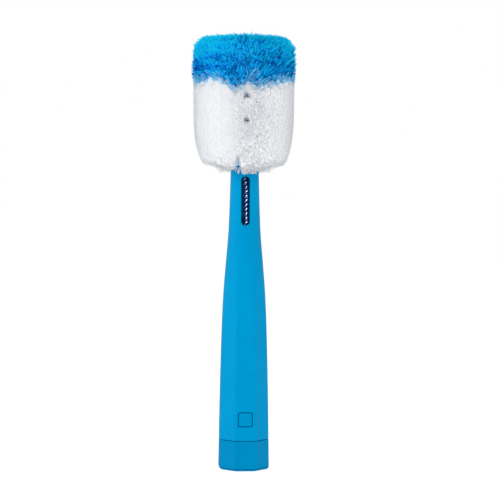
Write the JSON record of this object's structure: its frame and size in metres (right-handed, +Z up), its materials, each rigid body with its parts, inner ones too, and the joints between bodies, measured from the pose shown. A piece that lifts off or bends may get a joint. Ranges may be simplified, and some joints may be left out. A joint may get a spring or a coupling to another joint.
{
  "type": "bottle brush",
  "caption": "Bottle brush with a twisted-wire bristle head, a vented octagonal handle and a pull-out foot that carries a small detail brush stored inside the handle.",
  "frame": {"origin": "centre of the flat underside of the foot", "axes": "+Z up the handle towards the bristle head, -Y out of the facet with the push button and the vent slot"},
  "size_m": [0.0734, 0.0734, 0.3035],
  "materials": {
    "handle": "satin moulded polypropylene",
    "foot": "satin moulded polypropylene",
    "button": "satin moulded polypropylene",
    "plug": "satin moulded polypropylene",
    "holder": "satin moulded polypropylene",
    "wire": "bright drawn stainless wire",
    "detail_wire": "bright drawn stainless wire",
    "anchor": "turned steel",
    "white_bristle": "extruded nylon filament, slightly translucent",
    "blue_bristle": "extruded nylon filament, slightly translucent",
    "detail_bristle": "extruded nylon filament, slightly translucent"
  },
  "bodies": {
    "handle": {"handle_shell": "handle", "neck_plug": "plug", "stem_anchor": "anchor", "head_stem_wire": "wire", "bristles_white": "white_bristle", "bristles_blue": "blue_bristle"},
    "base": {"base_cap": "foot", "detail_brush_holder": "holder", "detail_brush_wire": "detail_wire", "detail_brush_bristles": "detail_bristle"},
    "latch": {"latch_tongue": "button"}
  },
  "joints": [
    {"name": "base_pull", "type": "slide", "parent": "handle", "child": "base", "axis": [0, 0, -1], "range_m": [0, 0.14], "deforming": ["latch_tongue"]},
    {"name": "latch_press", "type": "hinge", "parent": "base", "child": "latch", "pos_m": [0, -0.01365, 0.0224], "axis": [-1, 0, 0], "range_deg": [0, 14], "stiffness_Nm_per_rad": 0.1}
  ]
}
